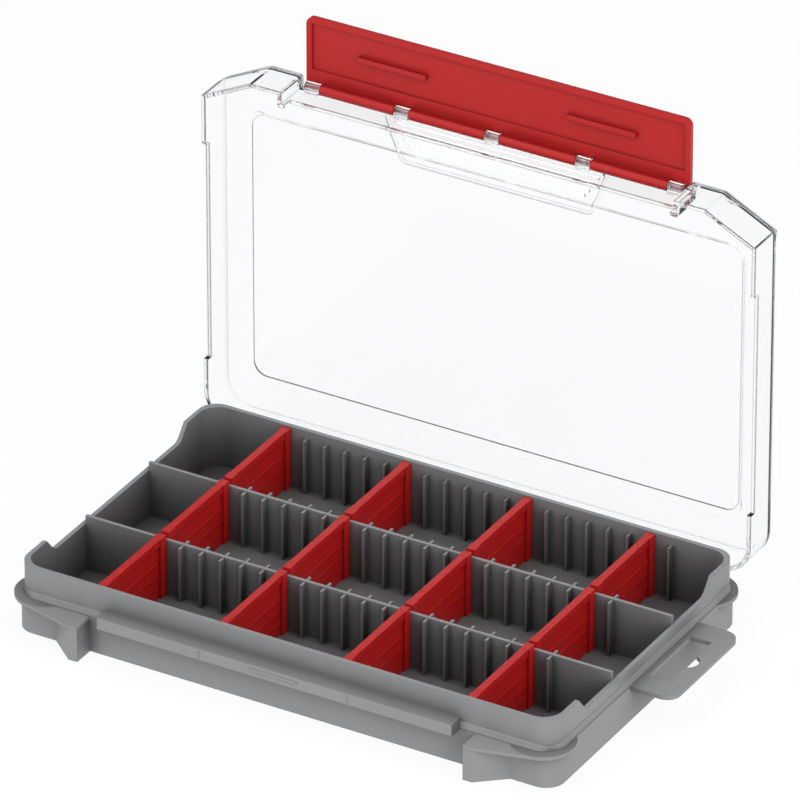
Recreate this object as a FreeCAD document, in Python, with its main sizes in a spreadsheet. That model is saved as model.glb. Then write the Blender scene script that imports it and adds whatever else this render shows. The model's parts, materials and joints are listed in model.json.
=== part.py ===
"""Compartment box: grey tray, clear hinged lid, wide red latch and loose dividers, in millimetres.

The origin is the centre of the tray's underside, +X along the box, +Y to the hinge, +Z up.
The lid and the latch are drawn shut and then turned to the open pose about the hinge pin.
"""
import FreeCAD, Part
import Sketcher
import os
import re

SIZES = {
    # tray walls
    "rim_length": 236.0,
    "rim_depth": 144.0,
    "rim_height": 29.0,
    "rim_corner": 8.0,
    "wall": 1.8,
    "floor_thickness": 1.8,
    "shoulder_height": 15.4,
    "shoulder_step": 1.0,
    # dips in the two side rims
    "dip_depth": 6.6,
    "dip_top_length": 108.0,
    "dip_bottom_length": 94.0,
    "dip_corner": 5.0,
    # partitions, ribs and compartments
    "partition_thickness": 1.4,
    "partition_height": 26.0,
    "end_column": 36.7,
    "ribs_per_column": 6,
    "rib_thickness": 1.0,
    "rib_reach": 3.0,
    "rib_height": 25.6,
    # corner seats under the lid
    "seat_radius": 13.0,
    "seat_thickness": 1.6,
    "front_seat_reach": 5.0,
    # catch bar and guard blocks at the front
    "catch_length": 156.0,
    "catch_reach": 7.0,
    "catch_bottom": 15.0,
    "catch_thickness": 5.0,
    "block_reach": 10.5,
    "block_tip": 4.0,
    "block_base": 16.5,
    "block_height": 14.4,
    # hang tab
    "tab_reach": 19.5,
    "tab_length": 54.0,
    "tab_centre": 12.7,
    "tab_thickness": 1.8,
    "tab_corner": 6.0,
    "slot_length": 33.0,
    "slot_width": 9.0,
    "slot_offset": 2.2,
    "slot_bump_radius": 5.0,
    "slot_bump_share": 0.33,
    # back hinge
    "hinge_back": 4.2,
    "hinge_height": 17.0,
    "hinge_pin_radius": 1.0,
    "hinge_pin_overhang": 1.5,
    "knuckle_radius": 2.6,
    "knuckle_length": 14.0,
    "knuckle_pitch": 56.0,
    "knuckle_arm_height": 2.0,
    # lid
    "lid_side_reach": 4.0,
    "lid_back_reach": 3.5,
    "lid_front_reach": 8.4,
    "lid_recess_reach": 3.2,
    "lid_recess_gap": 1.6,
    "lid_top": 32.5,
    "lid_wall": 1.8,
    "lid_panel": 1.6,
    "lid_corner": 13.0,
    "lid_cut_length": 22.0,
    "lid_cut_depth": 11.0,
    "panel_border": 12.0,
    "panel_drop": 1.2,
    "panel_corner": 6.0,
    "side_lift": 3.0,
    "side_lift_length": 96.0,
    "grip_rise": 0.6,
    "grip_bar": 1.1,
    "grip_pitch": 2.6,
    "grip_length": 94.0,
    "grip_taper": 4.0,
    # latch
    "latch_length": 168.8,
    "latch_thickness": 2.2,
    "latch_axis_reach": 5.6,
    "latch_axis_drop": 2.7,
    "latch_pin_radius": 0.9,
    "latch_knuckle_radius": 2.0,
    "latch_foot": 1.0,
    "latch_rim": 0.9,
    "latch_rim_width": 2.4,
    "latch_corner": 3.0,
    "lug_length": 6.0,
    "lug_pitch": 40.0,
    "hook_length": 30.0,
    "hook_height": 2.2,
    "hook_reach": 0.9,
    "hook_offset": 46.0,
    # dividers
    "divider_thickness": 1.6,
    "divider_top": 28.4,
    "divider_rail": 3.2,
    "divider_rail_width": 3.0,
    "divider_end_width": 3.6,
    "divider_end_length": 4.2,
    "divider_seat_gap": 0.1,
    # shared clearances and the overrun of every cut
    "pin_clearance": 0.05,
    "running_gap": 0.4,
    "lid_seat_gap": 0.2,
    "divider_gap": 0.3,
    "cut_overrun": 5.0,
}
COLUMNS = (1, 2, 3, 4)
ROWS = (1, 2, 3)
OPEN_ANGLE_DEG = -90.0
KNUCKLE_PITCH_SHARES = (-1.5, -0.5, 0.5, 1.5)
LID_KNUCKLE_PITCH_SHARES = (-1, 0, 1)
LUG_PITCH_SHARES = (-2, -1, 0, 1, 2)
FLAP_PITCH_SHARES = (-1.5, -0.5, 0.5, 1.5)
UPRIGHT_SHARE = 0.9
GRIP_BARS = 5

doc = FreeCAD.newDocument("compartment_box")
sheet = doc.addObject("Spreadsheet::Sheet", "sizes")
for line_number, (alias, value) in enumerate(SIZES.items(), start=1):
    cell = "A%d" % line_number
    sheet.set(cell, str(value))
    sheet.setAlias(cell, alias)
doc.recompute()

ALIAS_WORD = re.compile(r"\b(%s)\b" % "|".join(sorted(SIZES, key=len, reverse=True)))


def size(alias):
    """A size as it stands in the spreadsheet."""
    return float(sheet.get(alias))


def in_sheet(expression):
    """The expression with every size name pointed at the spreadsheet."""
    return ALIAS_WORD.sub(r"sizes.\1", expression)


def bind(thing, prop, expression):
    thing.setExpression(prop, in_sheet(expression))


def place(thing, x, y, z):
    for axis, expression in (("x", x), ("y", y), ("z", z)):
        bind(thing, ".Placement.Base.%s" % axis, expression)


def box(name, x, y, z, length, width, height):
    """A block from its lowest corner."""
    block = doc.addObject("Part::Box", name)
    for prop, expression in (("Length", length), ("Width", width), ("Height", height)):
        bind(block, prop, expression)
    place(block, x, y, z)
    return block


def middle_box(name, x, y, z, length, width, height):
    """A block centred in X and Y on (x, y) that stands on z."""
    return box(name, "%s - (%s) / 2" % (x, length), "%s - (%s) / 2" % (y, width), z, length, width, height)


def disc(name, x, y, z, radius, height):
    """An upright cylinder."""
    round_block = doc.addObject("Part::Cylinder", name)
    bind(round_block, "Radius", radius)
    bind(round_block, "Height", height)
    place(round_block, x, y, z)
    return round_block


def rod(name, x, y, z, radius, length):
    """A cylinder along X, centred on x."""
    bar = disc(name, "%s - (%s) / 2" % (x, length), y, z, radius, length)
    bar.Placement.Rotation = FreeCAD.Rotation(FreeCAD.Vector(0, 1, 0), 90)
    return bar


def fuse(name, *pieces):
    joined = doc.addObject("Part::MultiFuse", name)
    joined.Shapes = list(pieces)
    joined.Refine = True
    return joined


def cut(name, base, *tools):
    tool = tools[0] if len(tools) == 1 else fuse(name + "_tools", *tools)
    rest = doc.addObject("Part::Cut", name)
    rest.Base = base
    rest.Tool = tool
    rest.Refine = True
    return rest


def rounded_block(name, length, width, z, height, corner):
    """A block centred on the origin with its four upright edges rounded."""
    block = middle_box(name + "_square", "0", "0", z, length, width, height)
    doc.recompute()
    upright = [number for number, edge in enumerate(block.Shape.Edges, start=1)
               if abs(edge.tangentAt(edge.FirstParameter).z) > UPRIGHT_SHARE]
    rounded = doc.addObject("Part::Fillet", name)
    rounded.Base = block
    radius = size(corner)
    rounded.Edges = [(number, radius, radius) for number in upright]
    return rounded


def outline(name, corners, z, height, plane="XY"):
    """A closed outline of straight sides, drawn in a plane and raised by height."""
    drawing = doc.addObject("Sketcher::SketchObject", name + "_outline")
    if plane == "YZ":
        drawing.Placement.Rotation = FreeCAD.Rotation(FreeCAD.Vector(1, 1, 1), 120)
    start = [FreeCAD.Vector(number, number * number, 0) for number in range(len(corners))]
    for number in range(len(corners)):
        after = start[(number + 1) % len(corners)]
        drawing.addGeometry(Part.LineSegment(start[number], after), False)
    for number in range(len(corners)):
        after = (number + 1) % len(corners)
        drawing.addConstraint(Sketcher.Constraint("Coincident", number, 2, after, 1))
    for number, (across, along) in enumerate(corners):
        for kind, expression in (("DistanceX", across), ("DistanceY", along)):
            index = drawing.addConstraint(Sketcher.Constraint(kind, -1, 1, number, 1, 1.0))
            bind(drawing, "Constraints[%d]" % index, expression)
    solid = doc.addObject("Part::Extrusion", name)
    solid.Base = drawing
    solid.DirMode = "Normal"
    solid.Solid = True
    bind(solid, "LengthFwd", height)
    if plane == "YZ":
        bind(drawing, ".Placement.Base.x", z)
    else:
        bind(drawing, ".Placement.Base.z", z)
    return solid


LID_LENGTH = "rim_length + 2 * lid_side_reach"
COLUMN_PITCH = "((rim_length - 2 * end_column) / 3)"
INNER_LENGTH = "rim_length - 2 * wall"
INNER_DEPTH = "rim_depth - 2 * wall"
ROW_DEPTH = "(rim_depth - 2 * wall - 2 * partition_thickness) / 3"
RIB_PITCH = COLUMN_PITCH + " / ribs_per_column"
HINGE_Y = "rim_depth / 2 + hinge_back"
FIRST_DIVIDER = "end_column - rim_length / 2"
FRONT_SLANT = "tan(atan(lid_cut_depth / lid_cut_length) / 2)"
SIDE_SLANT = "tan(atan(lid_cut_length / lid_cut_depth) / 2)"
LATCH_Y = "-rim_depth / 2 - latch_axis_reach"
LATCH_Z = "lid_top - latch_axis_drop"


def partition_y(number):
    """Middle of a partition, counted from the front."""
    row_starts = "-rim_depth / 2 + wall + %d * (%s)" % (number, ROW_DEPTH)
    return row_starts + " + %d * partition_thickness - partition_thickness / 2" % number


def row_y(row):
    """Middle of a row, counted from the back."""
    return "rim_depth / 2 - wall - (%d - 0.5) * (%s) - %d * partition_thickness" % (row, ROW_DEPTH, row - 1)


def make_ribs():
    """Upright ribs across both partitions and on the inner faces of the front and back walls."""
    ribs = []
    positions = size("ribs_per_column") * (len(COLUMNS) - 1) + 2
    cross_width = "partition_thickness + 2 * rib_reach"
    wall_reach = "wall / 2 + rib_reach"
    for step in range(int(positions)):
        x = "%s + %d * (%s)" % (FIRST_DIVIDER, step, RIB_PITCH)
        for number in (1, 2):
            ribs.append(middle_box("rib_%d_%d" % (number, step), x, partition_y(number),
                                   "floor_thickness / 2", "rib_thickness", cross_width,
                                   "rib_height - floor_thickness / 2"))
        for side, y in (("front", "-rim_depth / 2 + wall / 2"), ("back", "rim_depth / 2 - wall - rib_reach")):
            ribs.append(box("rib_%s_%d" % (side, step), "%s - rib_thickness / 2" % x, y,
                            "floor_thickness / 2", "rib_thickness", wall_reach,
                            "rib_height - floor_thickness / 2"))
    return ribs


def make_shell():
    """Lower body, rim and corner seats, hollowed from above, with a dip in each side rim."""
    lower = rounded_block("lower_body", "rim_length + 2 * shoulder_step", "rim_depth + 2 * shoulder_step",
                          "0", "shoulder_height", "rim_corner")
    rim = rounded_block("rim", "rim_length", "rim_depth", "0", "rim_height", "rim_corner")
    seat_x = "rim_length / 2 + lid_side_reach - seat_radius"
    seat_z = "shoulder_height - seat_thickness"
    seats = []
    for side, sign in (("left", "-"), ("right", "")):
        x = "%s(%s)" % (sign, seat_x)
        back = "rim_depth / 2 + lid_back_reach - seat_radius"
        front = "-(rim_depth / 2 + front_seat_reach - seat_radius)"
        seats.append(disc("seat_back_%s" % side, x, back, seat_z, "seat_radius", "seat_thickness"))
        seats.append(disc("seat_front_%s" % side, x, front, seat_z, "seat_radius", "seat_thickness"))
    cavity = rounded_block("cavity", INNER_LENGTH, INNER_DEPTH, "floor_thickness",
                           "rim_height + cut_overrun", "rim_corner")
    dip = outline("dip", (("-dip_bottom_length / 2", "rim_height - dip_depth"),
                          ("dip_bottom_length / 2", "rim_height - dip_depth"),
                          ("dip_top_length / 2", "rim_height + wall"),
                          ("-dip_top_length / 2", "rim_height + wall")),
                  "-rim_length / 2 - cut_overrun", "rim_length + 2 * cut_overrun", "YZ")
    doc.recompute()
    low_edges = [number for number, edge in enumerate(dip.Shape.Edges, start=1)
                 if abs(edge.tangentAt(edge.FirstParameter).x) > UPRIGHT_SHARE
                 and edge.CenterOfMass.z < size("rim_height")]
    soft_dip = doc.addObject("Part::Fillet", "soft_dip")
    soft_dip.Base = dip
    soft_dip.Edges = [(number, size("dip_corner"), size("dip_corner")) for number in low_edges]
    return cut("shell", fuse("shell_solid", lower, rim, *seats), cavity, soft_dip)


def make_front():
    """Catch bar across the front and the two guard blocks beside the latch."""
    bar = box("catch_bar", "-catch_length / 2", "-rim_depth / 2 - catch_reach", "catch_bottom",
              "catch_length", "catch_reach + wall / 2", "catch_thickness")
    inner = "latch_length / 2 + running_gap"
    back = "-rim_depth / 2"
    tip = "-rim_depth / 2 - block_reach"
    blocks = []
    for side, sign in (("left", "-"), ("right", "")):
        corners = [(inner, back), (inner, tip)]
        corners += [(inner + " + block_tip", tip), (inner + " + block_base", back)]
        mirrored = [("%s(%s)" % (sign, across), along) for across, along in corners]
        blocks.append(outline("guard_block_%s" % side, mirrored, "0", "block_height"))
    return [bar] + blocks


def make_tab():
    """Hang tab on the right side, with a long slot and a round bump for the hook."""
    plate = box("tab_plate", "rim_length / 2 - wall / 2", "tab_centre - tab_length / 2",
                "shoulder_height - tab_thickness", "tab_reach + wall / 2", "tab_length", "tab_thickness")
    doc.recompute()
    edges = [number for number, edge in enumerate(plate.Shape.Edges, start=1)
             if abs(edge.tangentAt(edge.FirstParameter).z) > UPRIGHT_SHARE
             and edge.CenterOfMass.x > size("rim_length") / 2]
    rounded = doc.addObject("Part::Fillet", "tab_rounded")
    rounded.Base = plate
    rounded.Edges = [(number, size("tab_corner"), size("tab_corner")) for number in edges]
    low = "shoulder_height - tab_thickness - cut_overrun"
    height = "tab_thickness + 2 * cut_overrun"
    slot_x = "rim_length / 2 + shoulder_step + slot_offset"
    slot = box("hang_slot", slot_x, "tab_centre - slot_length / 2", low, "slot_width", "slot_length", height)
    bump = disc("hang_bump", slot_x + " + slot_width - slot_bump_radius * slot_bump_share", "tab_centre", low,
                "slot_bump_radius", height)
    return cut("tab", rounded, slot, bump)


def knuckle_places():
    """Middles of the tray's hinge knuckles along the back."""
    return ["%s * knuckle_pitch" % share for share in KNUCKLE_PITCH_SHARES]


def make_tray_knuckles():
    """Tray side of the back hinge: barrels on short arms from the back wall, bored for the pin."""
    pieces = []
    for number, x in enumerate(knuckle_places()):
        pieces.append(rod("tray_barrel_%d" % number, x, HINGE_Y, "hinge_height", "knuckle_radius",
                          "knuckle_length"))
        pieces.append(middle_box("tray_arm_%d" % number, x, "rim_depth / 2 + hinge_back / 2",
                                 "hinge_height - knuckle_radius", "knuckle_length", "hinge_back",
                                 "knuckle_arm_height"))
    return pieces


def pin_bore(name, y, z, radius, length):
    return rod(name, "0", y, z, "%s + pin_clearance" % radius, length)


def make_tray():
    partitions = [middle_box("partition_%d" % number, "0", partition_y(number), "floor_thickness / 2",
                             "rim_length - wall", "partition_thickness",
                             "partition_height - floor_thickness / 2")
                  for number in (1, 2)]
    dip_clear = [box("partition_clear_%s" % side, x, "dip_corner - dip_bottom_length / 2",
                     "rim_height - dip_depth", "cut_overrun + wall",
                     "dip_bottom_length - 2 * dip_corner", "dip_depth")
                 for side, x in (("left", "-rim_length / 2 - cut_overrun"),
                                 ("right", "rim_length / 2 - wall"))]
    solid = fuse("tray_solid", make_shell(), *(partitions + make_ribs() + make_front() + [make_tab()]
                                               + make_tray_knuckles()))
    bore = pin_bore("tray_bore", HINGE_Y, "hinge_height", "hinge_pin_radius", "rim_length")
    return cut("tray", solid, bore, *dip_clear)


def lid_corners(inset):
    """Lid outline drawn in by inset: front corners cut at a slant, and a recess for the latch."""
    half = "(rim_length / 2 + lid_side_reach - %s)" % inset
    back = "(rim_depth / 2 + lid_back_reach - %s)" % inset
    front = "(-rim_depth / 2 - lid_front_reach + %s)" % inset
    slant_x = "(rim_length / 2 + lid_side_reach - lid_cut_length - %s * %s)" % (inset, FRONT_SLANT)
    slant_y = "(-rim_depth / 2 - lid_front_reach + lid_cut_depth + %s * %s)" % (inset, SIDE_SLANT)
    recess_x = "(latch_length / 2 + lid_recess_gap + %s)" % inset
    recess_y = "(-rim_depth / 2 - lid_recess_reach + %s)" % inset
    right = [(recess_x, recess_y), (recess_x, front), (slant_x, front), (half, slant_y), (half, back)]
    left = [("-" + across, along) for across, along in reversed(right)]
    return left + right


def rounded_lid(name, inset, radius, low, high):
    """The lid's outline raised from low to high, with its back corners rounded."""
    prism = outline(name + "_prism", lid_corners(inset), low, "(%s) - (%s)" % (high, low))
    doc.recompute()
    back = size("rim_depth") / 2
    edges = [number for number, edge in enumerate(prism.Shape.Edges, start=1)
             if abs(edge.tangentAt(edge.FirstParameter).z) > UPRIGHT_SHARE
             and edge.CenterOfMass.y > back - size("lid_wall")]
    rounded = doc.addObject("Part::Fillet", name)
    rounded.Base = prism
    rounded.Edges = [(number, radius, radius) for number in edges]
    return rounded


def make_lid():
    """Clear pan with a sunk panel, a ribbed thumb grip, hinge barrels and lugs for the latch pin."""
    low = "shoulder_height + lid_seat_gap"
    outer = rounded_lid("lid_outer", "0 * wall", size("lid_corner"), low, "lid_top")
    inner = rounded_lid("lid_inner", "lid_wall", size("lid_corner") - size("lid_wall"),
                        "shoulder_height - cut_overrun", "lid_top - lid_panel")
    pan = cut("lid_pan", outer, inner)
    panel_length = LID_LENGTH + " - 2 * panel_border"
    panel_depth = "rim_depth - 2 * panel_border"
    sunk = rounded_block("lid_sunk", panel_length, panel_depth, "lid_top - lid_panel - panel_drop",
                         "lid_panel", "panel_corner")
    pocket = rounded_block("lid_pocket", panel_length + " - 2 * lid_panel", panel_depth + " - 2 * lid_panel",
                           "lid_top - panel_drop", "panel_drop + cut_overrun", "panel_corner")
    barrels = []
    for number, share in enumerate(LID_KNUCKLE_PITCH_SHARES):
        x = "%s * knuckle_pitch" % share
        barrels.append(rod("lid_barrel_%d" % number, x, HINGE_Y, "hinge_height", "knuckle_radius",
                           "knuckle_length"))
    lugs = []
    lug_y = "-rim_depth / 2 - (latch_axis_reach + lid_recess_reach - lid_wall) / 2"
    for number, share in enumerate(LUG_PITCH_SHARES):
        x = "%s * lug_pitch" % share
        lugs.append(rod("lug_round_%d" % number, x, LATCH_Y, LATCH_Z, "latch_knuckle_radius", "lug_length"))
        lugs.append(middle_box("lug_arm_%d" % number, x, lug_y, LATCH_Z + " - latch_knuckle_radius",
                               "lug_length", "latch_axis_reach - lid_recess_reach + lid_wall",
                               "2 * latch_knuckle_radius"))
    grips = []
    for number in range(GRIP_BARS):
        grips.append(middle_box("grip_bar_%d" % number, "0",
                                "-rim_depth / 2 + grip_pitch * %d" % number, "lid_top - lid_panel",
                                "grip_length - %d * grip_taper" % number, "grip_bar",
                                "lid_panel + grip_rise"))
    clear = []
    for number, x in enumerate(knuckle_places()):
        clear.append(rod("lid_notch_%d" % number, x, HINGE_Y, "hinge_height",
                         "knuckle_radius + running_gap", "knuckle_length + 2 * running_gap"))
    for side, sign in (("left", "-"), ("right", "")):
        clear.append(middle_box("side_lift_%s" % side, "%s(rim_length / 2 + lid_side_reach)" % sign, "0",
                                "shoulder_height - cut_overrun", "4 * lid_wall", "side_lift_length",
                                "cut_overrun + side_lift"))
    clear.append(middle_box("front_lift", "0", "-rim_depth / 2 - lid_recess_reach",
                            "shoulder_height - cut_overrun", "latch_length + 2 * running_gap",
                            "4 * lid_wall", "catch_bottom + catch_thickness + running_gap"
                            " - shoulder_height + cut_overrun"))
    clear.append(pin_bore("lid_bore", HINGE_Y, "hinge_height", "hinge_pin_radius", LID_LENGTH))
    clear.append(pin_bore("lug_bore", LATCH_Y, LATCH_Z, "latch_pin_radius", LID_LENGTH))
    body = fuse("lid_body", cut("lid_sunk_pan", fuse("lid_panel_solid", pan, sunk), pocket),
                *(barrels + lugs + grips))
    return cut("lid", body, *clear)


def make_latch():
    """Flap drawn shut: a framed plate hung from barrels on the latch pin, with two catch ridges."""
    back = "-rim_depth / 2 - latch_axis_reach - latch_knuckle_radius - running_gap"
    top = LATCH_Z + " + latch_knuckle_radius"
    height = top + " - latch_foot"
    plate = middle_box("latch_plate", "0", back + " - latch_thickness / 2", "latch_foot", "latch_length",
                       "latch_thickness", height)
    doc.recompute()
    foot = [number for number, edge in enumerate(plate.Shape.Edges, start=1)
            if abs(edge.tangentAt(edge.FirstParameter).y) > UPRIGHT_SHARE
            and edge.CenterOfMass.z < size("lid_top") / 2]
    rounded = doc.addObject("Part::Fillet", "latch_rounded")
    rounded.Base = plate
    rounded.Edges = [(number, size("latch_corner"), size("latch_corner")) for number in foot]
    hollow = middle_box("latch_hollow", "0", back, "latch_foot + latch_rim_width",
                        "latch_length - 2 * latch_rim_width", "2 * latch_rim",
                        LATCH_Z + " - 2 * latch_knuckle_radius - latch_foot - 2 * latch_rim_width")
    ridge_low = "catch_bottom - hook_height - running_gap"
    ridge_y = back + " + (hook_reach - latch_rim) / 2"
    ridges = [middle_box("catch_ridge_%s" % side, "%shook_offset" % sign, ridge_y, ridge_low,
                         "hook_length", "hook_reach + latch_rim", "hook_height")
              for side, sign in (("left", "-"), ("right", ""))]
    barrels = []
    for number, share in enumerate(FLAP_PITCH_SHARES):
        x = "%s * lug_pitch" % share
        length = "lug_pitch - lug_length - 2 * running_gap"
        barrels.append(rod("latch_barrel_%d" % number, x, LATCH_Y, LATCH_Z, "latch_knuckle_radius", length))
        barrels.append(middle_box("latch_web_%d" % number, x, "(%s + (%s)) / 2" % (LATCH_Y, back),
                                  LATCH_Z + " - latch_knuckle_radius", length,
                                  "(%s) - (%s) + latch_thickness" % (LATCH_Y, back),
                                  "2 * latch_knuckle_radius"))
    framed = cut("latch_framed", rounded, hollow)
    bore = pin_bore("latch_bore", LATCH_Y, LATCH_Z, "latch_pin_radius", LID_LENGTH)
    return cut("latch", fuse("latch_body", framed, *(ridges + barrels)), bore)


def make_divider(row, column):
    """Thin wall with a wide top rail and forked ends that straddle the ribs."""
    tag = "%d_%d" % (row, column)
    x = "%s + %d * %s" % (FIRST_DIVIDER, column - 1, COLUMN_PITCH)
    y = row_y(row)
    low = "floor_thickness + divider_seat_gap"
    length = "(%s) - 2 * divider_gap" % ROW_DEPTH
    web = middle_box("web_" + tag, x, y, low, "divider_thickness", length, "divider_top - (%s)" % low)
    rail = middle_box("rail_" + tag, x, y, "divider_top - divider_rail", "divider_rail_width", length,
                      "divider_rail")
    pieces = [web, rail]
    slots = []
    for end, sign in (("front", "-"), ("back", "+")):
        middle = "%s %s ((%s) - divider_end_length) / 2" % (y, sign, length)
        pieces.append(middle_box("fork_%s_%s" % (end, tag), x, middle, low, "divider_end_width",
                                 "divider_end_length", "divider_top - (%s)" % low))
        edge = "%s %s (%s) / 2" % (y, sign, length)
        slots.append(middle_box("fork_slot_%s_%s" % (end, tag), x, edge, low + " - cut_overrun",
                                "rib_thickness + 2 * divider_gap", "2 * (rib_reach + divider_gap)",
                                "rib_height - (%s) + divider_gap + cut_overrun" % low))
    return cut("divider_%s" % tag, fuse("divider_solid_" + tag, *pieces), *slots)


def turn_open(source, name):
    """A shut piece turned to the open pose about the back hinge."""
    opened = doc.addObject("Part::Feature", name)
    doc.recompute()
    axis_point = FreeCAD.Vector(0, size("rim_depth") / 2 + size("hinge_back"), size("hinge_height"))
    shape = source.Shape.copy()
    shape.rotate(axis_point, FreeCAD.Vector(1, 0, 0), OPEN_ANGLE_DEG)
    opened.Shape = shape
    opened.Label = name
    return opened


def main():
    nodes = {"tray": make_tray()}
    pin_length = "3 * knuckle_pitch + knuckle_length + 2 * hinge_pin_overhang"
    nodes["hinge_pin"] = rod("hinge_wire", "0", HINGE_Y, "hinge_height", "hinge_pin_radius", pin_length)
    nodes["lid"] = turn_open(make_lid(), "open_lid")
    shut_latch = make_latch()
    shut_pin = rod("latch_wire", "0", LATCH_Y, LATCH_Z, "latch_pin_radius", "4 * lug_pitch + lug_length")
    opened_pin = turn_open(shut_pin, "open_latch_pin")
    flap = turn_open(shut_latch, "open_latch")
    lid_axis = FreeCAD.Vector(0, size("rim_depth") / 2 + size("hinge_back"), size("hinge_height"))
    latch_reach = size("rim_depth") / 2 + size("latch_axis_reach")
    latch_point = FreeCAD.Vector(0, lid_axis.y + size("lid_top") - size("latch_axis_drop") - lid_axis.z,
                                 lid_axis.z + lid_axis.y + latch_reach)
    lifted = flap.Shape.copy()
    lifted.rotate(latch_point, FreeCAD.Vector(1, 0, 0), OPEN_ANGLE_DEG)
    flap.Shape = lifted
    nodes["latch_pin"] = opened_pin
    nodes["latch"] = flap
    for row in ROWS:
        for column in COLUMNS:
            nodes["divider_%d_%d" % (row, column)] = make_divider(row, column)
    doc.recompute()
    for thing in doc.Objects:
        if "Invalid" in thing.State or "Error" in thing.State:
            raise RuntimeError("failed: " + thing.Name + " " + str(thing.State))
    os.makedirs("parts", exist_ok=True)
    for name, thing in nodes.items():
        if thing.Shape.isNull() or not thing.Shape.isValid():
            raise RuntimeError("bad shape: " + name)
        print(name, len(thing.Shape.Solids), round(thing.Shape.Volume), thing.Shape.BoundBox)
        thing.Shape.exportStep(os.path.join("parts", name + ".step"))


main()
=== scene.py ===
import json
import math
import bpy
import numpy as np
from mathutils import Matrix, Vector


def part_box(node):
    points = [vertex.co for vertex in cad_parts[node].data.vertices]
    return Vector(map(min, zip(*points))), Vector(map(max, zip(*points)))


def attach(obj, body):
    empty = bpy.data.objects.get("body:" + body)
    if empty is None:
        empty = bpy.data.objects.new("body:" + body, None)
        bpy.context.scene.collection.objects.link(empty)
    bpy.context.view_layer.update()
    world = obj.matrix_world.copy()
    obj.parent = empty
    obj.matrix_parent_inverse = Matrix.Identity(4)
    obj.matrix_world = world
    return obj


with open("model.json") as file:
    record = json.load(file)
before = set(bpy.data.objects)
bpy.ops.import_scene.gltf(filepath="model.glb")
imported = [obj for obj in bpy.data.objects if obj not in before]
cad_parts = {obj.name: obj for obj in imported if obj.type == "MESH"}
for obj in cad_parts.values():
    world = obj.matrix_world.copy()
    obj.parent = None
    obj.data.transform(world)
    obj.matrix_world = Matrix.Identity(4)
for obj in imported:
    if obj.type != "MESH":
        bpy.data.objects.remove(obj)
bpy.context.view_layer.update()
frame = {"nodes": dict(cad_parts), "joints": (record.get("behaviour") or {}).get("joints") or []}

MM = 0.001

# Sizes of the added pieces and of the solids they sit on, in millimetres. Those of the lid are in its
# shut pose.
LID_HINGE = next(joint for joint in frame["joints"] if joint["name"] == "lid_hinge")
HINGE_Y, HINGE_Z = (value / MM for value in LID_HINGE["pos_m"][1:])

LID_HALF, LID_BACK, LID_FRONT, LID_TOP = 122.0, 75.5, -80.4, 32.5
LID_CUT_X, LID_CUT_Y = 22.0, 11.0
LID_RECESS_X, LID_RECESS_Y = 86.0, -75.2
BEAD_RADIUS, BEAD_INSET, BEAD_DROP, BEAD_SIDES = 0.9, 0.6, 0.4, 10
BEAD_CORNER_RADII = [1.2, 1.2, 9, 7, 13]  # from the latch recess to the back corner

GRIP_FRONT_Y, GRIP_FRONT_HALF = -74.0, 49.5
GRIP_BACK_Y, GRIP_BACK_HALF = -54.5, 41.5
GRIP_CORNER = 2.5
GRIP_FOOT_HALF, GRIP_TOP_HALF, GRIP_RISE, GRIP_SINK = 0.8, 0.6, 0.75, 0.05

RIM_HALF_X, RIM_HALF_Y, RIM_CORNER = 118.0, 72.0, 8.0
COVE_REACH, COVE_RISE, COVE_TOP = 0.95, 2.95, 18.4
COVE_INNER_FOOT, COVE_SINK, COVE_POINTS = 15.5, 0.2, 7
COVE_THINNING = 0.75

GUARD_SIDE_X, FLANGE_BACK_Y = 84.85, -72.2
FLANGE_TIP = (88.8, -82.57)
FLANGE_LOW, FLANGE_HIGH = 13.85, 15.35
SEAT_MIDDLE, SEAT_RADIUS = (109.0, -64.0), 13.0

DIVIDER_FACE, DIVIDER_FORK = 0.8, 4.6
RIB_PROUD, RIB_HALF_HIGH = 0.28, 0.45
RIB_LEVELS = (0.2, 0.4, 0.6)  # shares of the divider's height

CATCH_FACE = -79.0
CATCH_RIDGE_Z, CATCH_RIDGE_HALF = 17.8, (10.5, 0.35, 0.55)
CATCH_MARK_X, CATCH_MARK_Z, CATCH_MARK_HALF = 32.6, 17.4, (0.3, 0.25, 1.5)

# Surface, studio and camera values, with lengths in metres.
GRAIN_HEIGHT, GRAIN_DETAIL = 0.0002, 3
DRIFT_SCALE, DRIFT_DETAIL = 35, 4
# reach of the painted shade that darkens recesses
RECESS_REACH = 0.05
SHADER_SAMPLES = 6
FLOOR_HALF, FLOOR_DROP, FLOOR_GLOW = 6.0, 0.0002, 0.9
WHITE = (1, 1, 1, 1)
FLOOR_GREY = (0.9, 0.9, 0.9, 1)
SKY_GREY = (0.42, 0.42, 0.43, 1)
LIGHT_AIM = Vector((0, 0, 0.06))
VIEW_TURN, VIEW_RISE = math.radians(30), math.radians(30)
VIEW_WIDTH, AIM_ACROSS, AIM_UP = 0.3077, 0.00873, 0.08573
LENS_MM, SENSOR_MM, CLIP_END = 500, 36, 50


def group(name, inputs, outputs):
    """A shader node group with named sockets."""
    tree = bpy.data.node_groups.new(name, "ShaderNodeTree")
    for label, kind, value in inputs:
        socket = tree.interface.new_socket(label, in_out="INPUT", socket_type=kind)
        socket.default_value = value
    for label, kind in outputs:
        tree.interface.new_socket(label, in_out="OUTPUT", socket_type=kind)
    return tree, tree.nodes.new("NodeGroupInput"), tree.nodes.new("NodeGroupOutput")


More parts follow.
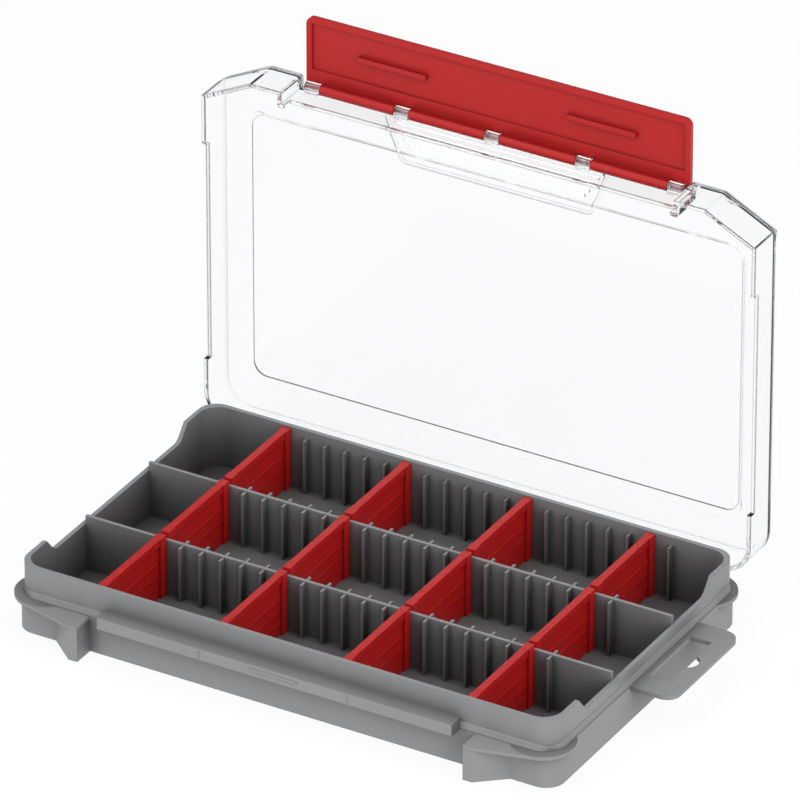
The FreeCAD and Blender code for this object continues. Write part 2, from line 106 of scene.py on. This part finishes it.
def make_surface_group():
    """Moulded surface: rounded edges, fine grain bump, slow drift in colour and gloss, painted shade in
    recesses.
    """
    tree, given, result = group(
        "moulded_surface",
        (("Colour", "NodeSocketColor", (0.5, 0.5, 0.5, 1)), ("Grain Scale", "NodeSocketFloat", 1500.0),
         ("Grain Depth", "NodeSocketFloat", 0.05), ("Edge Radius", "NodeSocketFloat", 0.0005),
         ("Roughness", "NodeSocketFloat", 0.5), ("Drift", "NodeSocketFloat", 0.08),
         ("Recess Shade", "NodeSocketFloat", 0.5)),
        (("Colour", "NodeSocketColor"), ("Roughness", "NodeSocketFloat"), ("Normal", "NodeSocketVector")))
    nodes, links = tree.nodes, tree.links

    # grain bump over normals that are rounded at the edges
    place = nodes.new("ShaderNodeTexCoord")
    grain = nodes.new("ShaderNodeTexNoise")
    grain.inputs["Detail"].default_value = GRAIN_DETAIL
    links.new(place.outputs["Object"], grain.inputs["Vector"])
    links.new(given.outputs["Grain Scale"], grain.inputs["Scale"])
    soft = nodes.new("ShaderNodeBevel")
    soft.samples = SHADER_SAMPLES
    links.new(given.outputs["Edge Radius"], soft.inputs["Radius"])
    bump = nodes.new("ShaderNodeBump")
    bump.inputs["Distance"].default_value = GRAIN_HEIGHT
    links.new(given.outputs["Grain Depth"], bump.inputs["Strength"])
    links.new(grain.outputs["Fac"], bump.inputs["Height"])
    links.new(soft.outputs["Normal"], bump.inputs["Normal"])

    # slow noise, centred on zero, scales colour and roughness about their given values
    slow = nodes.new("ShaderNodeTexNoise")
    slow.inputs["Scale"].default_value = DRIFT_SCALE
    slow.inputs["Detail"].default_value = DRIFT_DETAIL
    links.new(place.outputs["Object"], slow.inputs["Vector"])
    swing = nodes.new("ShaderNodeMath")
    swing.operation = "SUBTRACT"
    swing.inputs[1].default_value = 0.5
    links.new(slow.outputs["Fac"], swing.inputs[0])
    share = nodes.new("ShaderNodeMath")
    share.operation = "MULTIPLY_ADD"
    share.inputs[2].default_value = 1.0
    links.new(swing.outputs[0], share.inputs[0])
    links.new(given.outputs["Drift"], share.inputs[1])
    tint = nodes.new("ShaderNodeVectorMath")
    tint.operation = "SCALE"
    links.new(given.outputs["Colour"], tint.inputs[0])
    links.new(share.outputs[0], tint.inputs["Scale"])
    gloss = nodes.new("ShaderNodeMath")
    gloss.operation = "MULTIPLY"
    links.new(given.outputs["Roughness"], gloss.inputs[0])
    links.new(share.outputs[0], gloss.inputs[1])

    # painted shade: recesses of the same piece go darker, as their ambient occlusion is multiplied into the
    # colour
    hidden = nodes.new("ShaderNodeAmbientOcclusion")
    hidden.samples = SHADER_SAMPLES
    hidden.only_local = True
    hidden.inputs["Distance"].default_value = RECESS_REACH
    shade = nodes.new("ShaderNodeMix")
    shade.data_type = "FLOAT"
    shade.inputs["A"].default_value = 1.0
    links.new(given.outputs["Recess Shade"], shade.inputs["Factor"])
    links.new(hidden.outputs["AO"], shade.inputs["B"])
    shaded = nodes.new("ShaderNodeVectorMath")
    shaded.operation = "SCALE"
    links.new(tint.outputs["Vector"], shaded.inputs[0])
    links.new(shade.outputs["Result"], shaded.inputs["Scale"])

    links.new(shaded.outputs["Vector"], result.inputs["Colour"])
    links.new(gloss.outputs[0], result.inputs["Roughness"])
    links.new(bump.outputs["Normal"], result.inputs["Normal"])
    return tree


SURFACE = make_surface_group()


def material(name, colour, rough, grain, depth, edge_mm, drift, recess, **principled):
    """A Principled material fed by the moulded surface group."""
    made = bpy.data.materials.new(name)
    made.use_nodes = True
    nodes, links = made.node_tree.nodes, made.node_tree.links
    shader = nodes["Principled BSDF"]
    moulded = nodes.new("ShaderNodeGroup")
    moulded.node_tree = SURFACE
    for label, value in (("Colour", colour + (1,)), ("Grain Scale", grain), ("Grain Depth", depth),
                         ("Edge Radius", edge_mm * MM), ("Roughness", rough), ("Drift", drift),
                         ("Recess Shade", recess)):
        moulded.inputs[label].default_value = value
    links.new(moulded.outputs["Colour"], shader.inputs["Base Color"])
    links.new(moulded.outputs["Roughness"], shader.inputs["Roughness"])
    links.new(moulded.outputs["Normal"], shader.inputs["Normal"])
    for label, value in principled.items():
        shader.inputs[label.replace("_", " ")].default_value = value
    return made


# recess sets how strongly painted shade darkens each material's hollows
GREY = material("grey_plastic", (0.235, 0.238, 0.242), rough=0.5, grain=1800.0, depth=0.12, edge_mm=0.6,
                drift=0.10, recess=0.95, IOR=1.49, Specular_IOR_Level=0.35)
RED = material("red_plastic", (0.42, 0.008, 0.008), rough=0.42, grain=1500.0, depth=0.05, edge_mm=0.5,
               drift=0.08, recess=0.65, IOR=1.5, Specular_IOR_Level=0.3)
CLEAR = material("clear_plastic", (0.97, 0.98, 0.985), rough=0.03, grain=300.0, depth=0.01, edge_mm=0.9,
                 drift=0.01, recess=0.0, IOR=1.36, Transmission_Weight=1.0, Specular_IOR_Level=0.1,
                 Specular_Tint=(0.2, 0.2, 0.2, 1))
STEEL = material("pin_steel", (0.62, 0.63, 0.65), rough=0.28, grain=2500.0, depth=0.05, edge_mm=0.1,
                 drift=0.08, recess=0.0, Metallic=1.0)


def material_for(name):
    """The material of a CAD node."""
    if name == "tray":
        return GREY
    if name == "hinge_pin":
        return STEEL
    return CLEAR if name in ("lid", "latch_pin") else RED


for name, node in frame["nodes"].items():
    node.data.materials.clear()
    node.data.materials.append(material_for(name))


def add_piece(name, points, faces, look, body, smooth=True):
    """A new piece from points in metres, riding on a body."""
    mesh = bpy.data.meshes.new(name)
    mesh.from_pydata([tuple(point) for point in points], [], [tuple(face) for face in faces])
    mesh.validate()
    mesh.update()
    if smooth:
        mesh.shade_smooth()
    thing = bpy.data.objects.new(name, mesh)
    bpy.context.scene.collection.objects.link(thing)
    mesh.materials.append(look)
    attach(thing, body)


def sweep(path, profile, out):
    """Points and quads of a closed profile carried round a closed path.

    profile is (outward, up) pairs, and out holds the outward direction at each path point.
    """
    rings = [np.array([place + away * across + np.array((0, 0, up)) for across, up in profile])
             for place, away in zip(path, out)]
    count, size = len(path), len(profile)
    faces = [(ring * size + side, ring * size + (side + 1) % size,
              (ring + 1) % count * size + (side + 1) % size, (ring + 1) % count * size + side)
             for ring in range(count) for side in range(size)]
    return np.concatenate(rings), faces


def round_corners(corners, radii, steps=8):
    """A closed outline with rounded corners, and its outward directions.

    Corners run anticlockwise, and may turn inwards.
    """
    path, out = [], []
    corners = [np.array(corner, float) for corner in corners]
    for number, corner in enumerate(corners):
        before = corners[number - 1] - corner
        after = corners[(number + 1) % len(corners)] - corner
        before, after = before / np.linalg.norm(before), after / np.linalg.norm(after)
        half = math.acos(np.clip(before @ after, -1, 1)) / 2
        radius = radii[number]
        middle = before + after
        centre = corner + middle / np.linalg.norm(middle) * radius / math.sin(half)
        start = math.atan2(*(corner + before * radius / math.tan(half) - centre)[::-1])
        side = math.copysign(1, before[1] * after[0] - before[0] * after[1])
        for step in range(steps + 1):
            angle = start + side * (math.pi - 2 * half) * step / steps
            away = np.array((math.cos(angle), math.sin(angle), 0))
            path.append(np.array((centre[0], centre[1], 0)) + away * radius)
            out.append(away * side)
    return path, out


def opened(points):
    """Shut-pose points in millimetres, turned to the open pose about the lid's hinge, in metres."""
    points = np.array(points)
    back, up = points[:, 1] - HINGE_Y, points[:, 2] - HINGE_Z
    return np.stack((points[:, 0], HINGE_Y + up, HINGE_Z - back), axis=1) * MM


def blocks(boxes):
    """Points and faces of plain blocks, each given by its middle and half sizes."""
    signs = [(a, b, c) for c in (-1, 1) for b in (-1, 1) for a in (-1, 1)]
    sides = [(0, 2, 3, 1), (4, 5, 7, 6), (0, 1, 5, 4), (2, 6, 7, 3), (0, 4, 6, 2), (1, 3, 7, 5)]
    points = [np.array(middle) + np.array(half) * sign for middle, half in boxes for sign in signs]
    faces = [tuple(corner + len(signs) * number for corner in side)
             for number in range(len(boxes)) for side in sides]
    return np.array(points), faces


def add_cove():
    """Hollow blend between the tray's shoulder and its rim."""
    corners = [(-RIM_HALF_X, -RIM_HALF_Y), (RIM_HALF_X, -RIM_HALF_Y),
               (RIM_HALF_X, RIM_HALF_Y), (-RIM_HALF_X, RIM_HALF_Y)]
    path, out = round_corners(corners, [RIM_CORNER] * len(corners), steps=10)
    # the blend thins out round the two front corners, where the shut lid's slanted wall comes close
    corner_steps = len(path) // len(corners)
    for step in range(2 * corner_steps):
        turned_share = step % corner_steps / (corner_steps - 1)
        out[step] = out[step] * (1 - COVE_THINNING * math.sin(math.pi * turned_share))
    bend = [(COVE_REACH - COVE_REACH * math.sin(angle), COVE_TOP - COVE_RISE * math.cos(angle))
            for angle in np.linspace(0, math.pi / 2, COVE_POINTS)]
    profile = [(-COVE_SINK, COVE_INNER_FOOT)] + bend + [(-COVE_SINK, COVE_TOP)]
    points, faces = sweep(path, profile, out)
    add_piece("tray_cove", points * MM, faces, GREY, "tray")


def add_corner_flanges():
    """Thin flanges that run from each guard block's tip to the round lid seat beside it."""
    tip, seat = np.array(FLANGE_TIP), np.array(SEAT_MIDDLE)
    # the outer edge leaves the tip and touches the seat's round
    away = seat - tip
    reach = np.linalg.norm(away)
    slant = math.atan2(away[1], away[0]) - math.asin(SEAT_RADIUS / reach)
    edge_length = math.sqrt(reach ** 2 - SEAT_RADIUS ** 2)
    touch = tip + edge_length * np.array((math.cos(slant), math.sin(slant)))
    corners = [(GUARD_SIDE_X, FLANGE_BACK_Y), (GUARD_SIDE_X, tip[1]), tuple(tip), tuple(touch),
               (seat[0], FLANGE_BACK_Y)]
    count = len(corners)
    for name, side in (("left", -1), ("right", 1)):
        points = [(side * x, y, z) for z in (FLANGE_LOW, FLANGE_HIGH) for x, y in corners]
        faces = [tuple(range(count))[::-1], tuple(range(count, 2 * count))]
        faces += [(n, (n + 1) % count, (n + 1) % count + count, n + count) for n in range(count)]
        faces = faces if side > 0 else [face[::-1] for face in faces]
        add_piece("corner_flange_" + name, np.array(points) * MM, faces, GREY, "tray",
                  smooth=False)


def add_lid_bead():
    """Rounded bead round the top edge of the lid."""
    right = [(LID_RECESS_X, LID_RECESS_Y), (LID_RECESS_X, LID_FRONT), (LID_HALF - LID_CUT_X, LID_FRONT),
             (LID_HALF, LID_FRONT + LID_CUT_Y), (LID_HALF, LID_BACK)]
    left = [(-across, along) for across, along in reversed(right)]
    path, out = round_corners(right + left, BEAD_CORNER_RADII + BEAD_CORNER_RADII[::-1])
    ring = [(BEAD_RADIUS * math.cos(angle) - BEAD_INSET, LID_TOP - BEAD_DROP + BEAD_RADIUS * math.sin(angle))
            for angle in np.linspace(0, 2 * math.pi, BEAD_SIDES, endpoint=False)]
    points, faces = sweep(path, ring, out)
    add_piece("lid_edge_bead", opened(points), faces, CLEAR, "lid")


def add_grip_frame():
    """Raised frame round the thumb grip, wider at the free edge."""
    corners = [(-GRIP_FRONT_HALF, GRIP_FRONT_Y), (GRIP_FRONT_HALF, GRIP_FRONT_Y),
               (GRIP_BACK_HALF, GRIP_BACK_Y), (-GRIP_BACK_HALF, GRIP_BACK_Y)]
    path, out = round_corners(corners, [GRIP_CORNER] * len(corners), steps=5)
    foot, top = LID_TOP - GRIP_SINK, LID_TOP + GRIP_RISE
    ring = [(GRIP_FOOT_HALF, foot), (GRIP_TOP_HALF, top), (-GRIP_TOP_HALF, top), (-GRIP_FOOT_HALF, foot)]
    points, faces = sweep(path, ring, out)
    add_piece("thumb_grip_frame", opened(points), faces, CLEAR, "lid", smooth=False)


def add_divider_ribs():
    """Low ribs along both faces of every divider, between its forked ends."""
    for name in frame["nodes"]:
        if not name.startswith("divider"):
            continue
        low, high = (np.array(corner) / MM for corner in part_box(name))
        middle = (low + high) / 2
        half_long = (high[1] - low[1]) / 2 - DIVIDER_FORK
        boxes = [((middle[0] + side * DIVIDER_FACE, middle[1], low[2] + share * (high[2] - low[2])),
                  (RIB_PROUD, half_long, RIB_HALF_HIGH))
                 for side in (-1, 1) for share in RIB_LEVELS]
        points, faces = blocks(boxes)
        add_piece("ribs_" + name, points * MM, faces, RED, name, smooth=False)


def add_catch_marks():
    """Middle ridge and two small upright marks on the front of the catch bar."""
    boxes = [((0, CATCH_FACE, CATCH_RIDGE_Z), CATCH_RIDGE_HALF)]
    boxes += [((side * CATCH_MARK_X, CATCH_FACE, CATCH_MARK_Z), CATCH_MARK_HALF) for side in (-1, 1)]
    points, faces = blocks(boxes)
    add_piece("catch_bar_marks", points * MM, faces, GREY, "tray", smooth=False)


add_cove()
add_corner_flanges()
add_lid_bead()
add_grip_frame()
add_divider_ribs()
add_catch_marks()


def add_floor():
    """Plain floor, mostly lit by itself, so that it is white and takes only a faint shadow."""
    mesh = bpy.data.meshes.new("floor")
    corners = [(-FLOOR_HALF, -FLOOR_HALF), (FLOOR_HALF, -FLOOR_HALF),
               (FLOOR_HALF, FLOOR_HALF), (-FLOOR_HALF, FLOOR_HALF)]
    mesh.from_pydata([(x, y, -FLOOR_DROP) for x, y in corners], [], [(0, 1, 2, 3)])
    floor = bpy.data.objects.new("floor", mesh)
    bpy.context.scene.collection.objects.link(floor)
    look = bpy.data.materials.new("floor_white")
    look.use_nodes = True
    nodes, links = look.node_tree.nodes, look.node_tree.links
    shader = nodes["Principled BSDF"]
    shader.inputs["Base Color"].default_value = FLOOR_GREY
    shader.inputs["Roughness"].default_value = 0.9
    shader.inputs["Specular IOR Level"].default_value = 0
    white = nodes.new("ShaderNodeEmission")
    white.inputs["Color"].default_value = WHITE
    white.inputs["Strength"].default_value = 1
    mix = nodes.new("ShaderNodeMixShader")
    mix.inputs["Fac"].default_value = FLOOR_GLOW
    links.new(shader.outputs["BSDF"], mix.inputs[1])
    links.new(white.outputs["Emission"], mix.inputs[2])
    links.new(mix.outputs["Shader"], nodes["Material Output"].inputs["Surface"])
    mesh.materials.append(look)
    return floor


def add_light(name, place, size, watts):
    """A square area light that faces the box."""
    lamp = bpy.data.lights.new(name, "AREA")
    lamp.size = size
    lamp.energy = watts
    thing = bpy.data.objects.new(name, lamp)
    thing.location = place
    thing.rotation_euler = (LIGHT_AIM - Vector(place)).to_track_quat("-Z", "Y").to_euler()
    bpy.context.scene.collection.objects.link(thing)
    return thing


def add_world():
    """White to the camera and through the clear lid, softer as a light."""
    world = bpy.data.worlds.new("studio")
    bpy.context.scene.world = world
    world.use_nodes = True
    nodes, links = world.node_tree.nodes, world.node_tree.links
    ray = nodes.new("ShaderNodeLightPath")
    seen = nodes.new("ShaderNodeMath")
    seen.operation = "MAXIMUM"
    links.new(ray.outputs["Is Camera Ray"], seen.inputs[0])
    links.new(ray.outputs["Is Transmission Ray"], seen.inputs[1])
    mix = nodes.new("ShaderNodeMix")
    mix.data_type = "RGBA"
    mix.inputs["A"].default_value = SKY_GREY
    mix.inputs["B"].default_value = WHITE
    links.new(seen.outputs[0], mix.inputs["Factor"])
    links.new(mix.outputs["Result"], nodes["Background"].inputs["Color"])
    nodes["Background"].inputs["Strength"].default_value = 1


add_world()
add_floor()
add_light("key", (-0.5, -0.8, 1.3), size=0.8, watts=5.5)
add_light("fill", (1.2, -0.5, 0.7), size=1.0, watts=12)
add_light("front", (-0.3, -1.5, 0.4), size=1.0, watts=7)
add_light("top", (0.1, 0.1, 1.5), size=1.2, watts=6.5)


def add_camera():
    """Long lens at the photo's angle."""
    across = Vector((math.cos(VIEW_TURN), math.sin(VIEW_TURN), 0))
    up = Vector((-math.sin(VIEW_TURN) * math.sin(VIEW_RISE), math.cos(VIEW_TURN) * math.sin(VIEW_RISE),
                 math.cos(VIEW_RISE)))
    back = across.cross(up)
    lens = bpy.data.cameras.new("camera")
    lens.lens = LENS_MM
    lens.sensor_width = SENSOR_MM
    lens.clip_end = CLIP_END
    thing = bpy.data.objects.new("camera", lens)
    aim = across * AIM_ACROSS + up * AIM_UP
    thing.location = aim + back * (VIEW_WIDTH * LENS_MM / SENSOR_MM)
    thing.rotation_euler = back.to_track_quat("Z", "Y").to_euler()
    bpy.context.scene.collection.objects.link(thing)
    bpy.context.scene.camera = thing


add_camera()
bpy.context.scene.view_settings.view_transform = "Standard"
